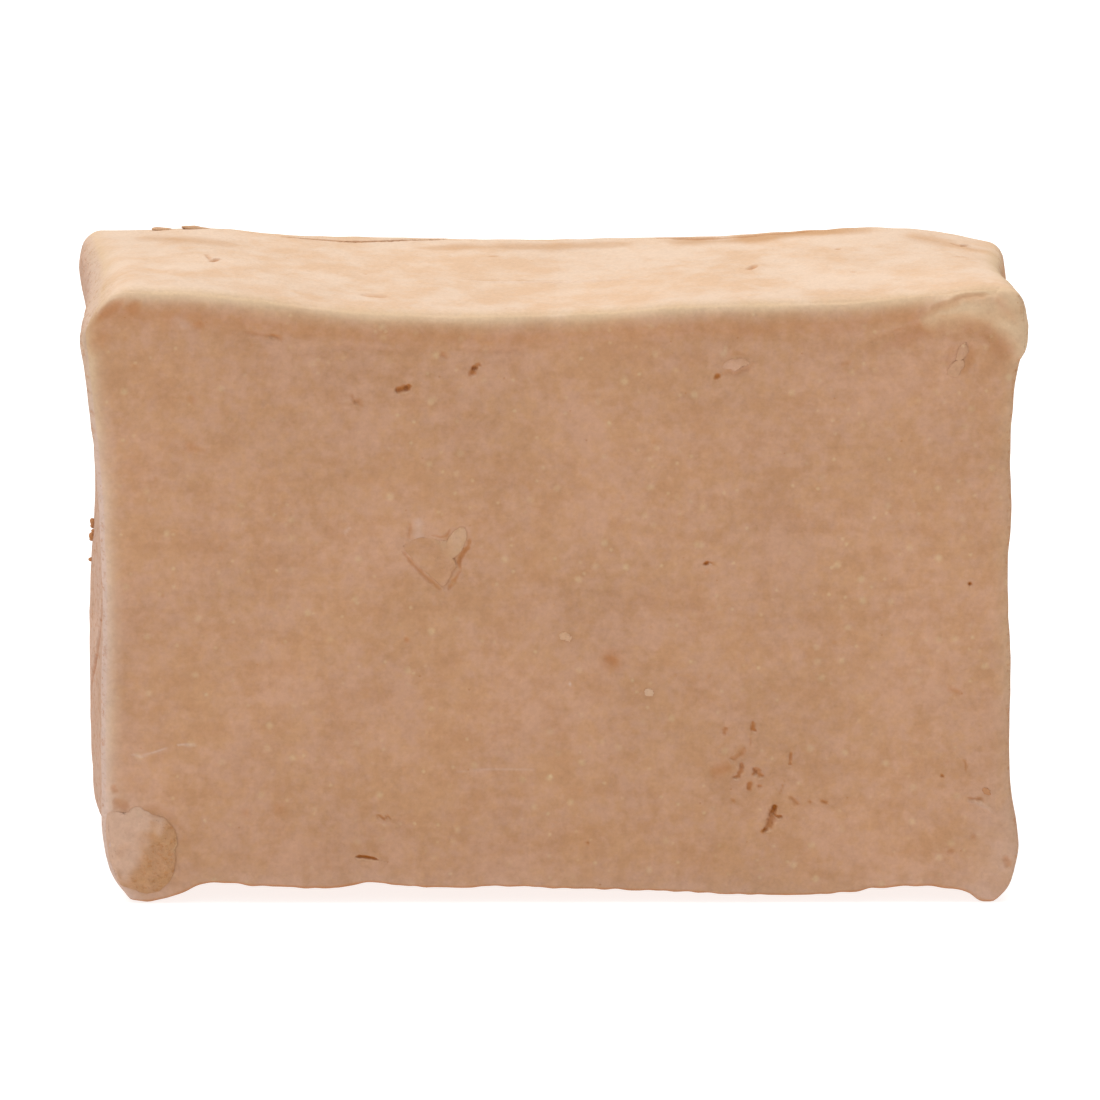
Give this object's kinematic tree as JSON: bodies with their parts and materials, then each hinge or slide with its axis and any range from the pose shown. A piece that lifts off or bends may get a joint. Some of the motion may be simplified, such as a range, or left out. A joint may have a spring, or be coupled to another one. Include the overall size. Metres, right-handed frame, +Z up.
{
  "type": "gymnastics chalk block",
  "caption": "Pressed rectangular cake of tan gym chalk with hollow sides, flared corners, and clinging flakes, crumbs and grains.",
  "frame": {"origin": "centre of the block's footprint, on the surface it stands on", "axes": "+Z up, +X along the block's length, broad front face towards -Y; the block stands on one long narrow side"},
  "size_m": [0.0746, 0.0265, 0.0499],
  "materials": {
    "pressed_chalk": "matte",
    "smeared_chalk": "matte",
    "crumb_chalk": "matte",
    "pale_grain": "matte",
    "rust_grain": "matte"
  },
  "bodies": {
    "root": {"chalk_block": "pressed_chalk", "corner_flap": "smeared_chalk", "face_flake": "pressed_chalk", "side_crumbs": "crumb_chalk", "pale_grains": "pale_grain", "rust_grain": "rust_grain", "pressed_pellets": "pressed_chalk", "top_burrs": "crumb_chalk"}
  },
  "joints": []
}
